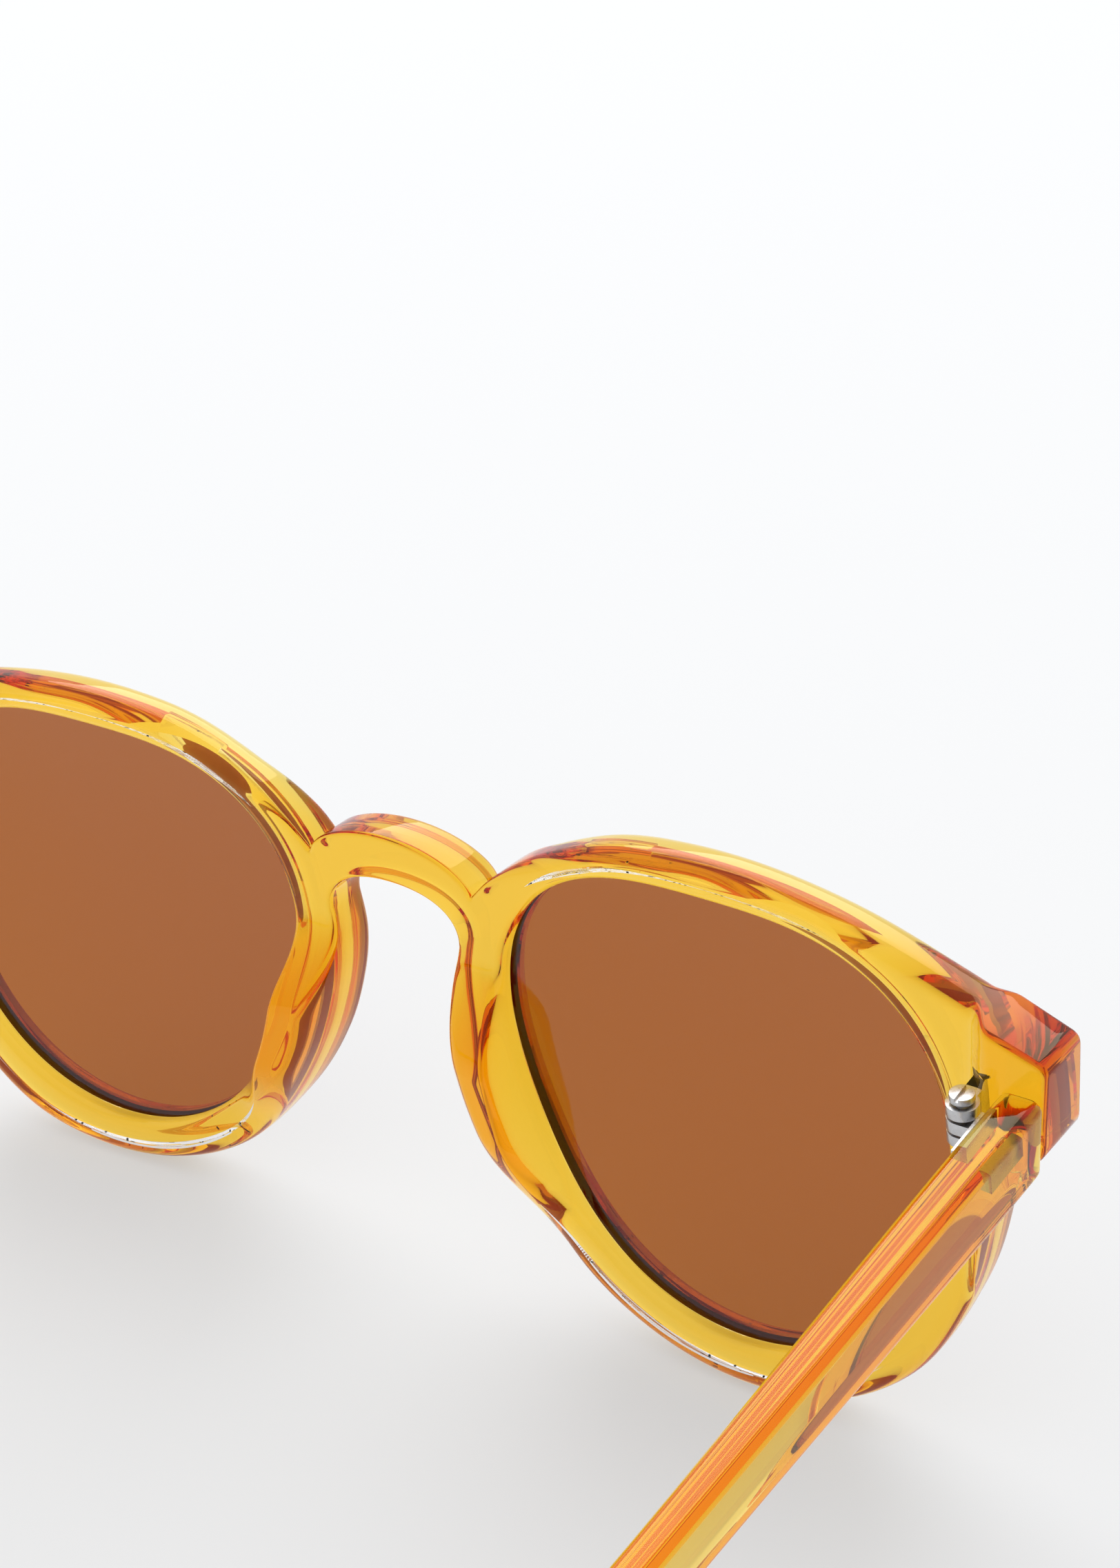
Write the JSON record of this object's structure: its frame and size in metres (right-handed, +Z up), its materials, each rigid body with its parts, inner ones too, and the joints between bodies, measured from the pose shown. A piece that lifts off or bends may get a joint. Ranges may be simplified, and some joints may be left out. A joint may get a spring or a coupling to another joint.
{
  "type": "full-rim sunglasses",
  "caption": "Full-rim sunglasses with a translucent amber keyhole-bridge front, brown round lenses and folding temples on metal barrel hinges.",
  "frame": {"origin": "on the surface the glasses stand on, under the middle of the open pair", "axes": "+Z up, -Y the way the wearer looks, +Y towards the temple tips, +X to the wearer's left"},
  "size_m": [0.1456, 0.141, 0.0554],
  "materials": {
    "amber_plastic": "polished translucent amber injection-moulded plastic",
    "brown_lens": "polished brown tinted plastic lens",
    "hinge_steel": "plain satin steel"
  },
  "bodies": {
    "front": {"front_frame": "amber_plastic", "lens_left": "brown_lens", "lens_right": "brown_lens", "hinge_front_leaf_left": "hinge_steel", "hinge_front_leaf_right": "hinge_steel", "hinge_screw_left": "hinge_steel", "hinge_screw_right": "hinge_steel"},
    "temple_left": {"temple_left": "amber_plastic", "hinge_temple_leaf_left": "hinge_steel"},
    "temple_right": {"temple_right": "amber_plastic", "hinge_temple_leaf_right": "hinge_steel"}
  },
  "joints": [
    {"name": "temple_left_fold", "type": "hinge", "parent": "front", "child": "temple_left", "pos_m": [0.0659, -0.05833, 0.04191], "axis": [0, 0, 1], "range_deg": [0, 88]},
    {"name": "temple_right_fold", "type": "hinge", "parent": "front", "child": "temple_right", "pos_m": [-0.0659, -0.05833, 0.04191], "axis": [0, 0, -1], "range_deg": [0, 79]}
  ]
}
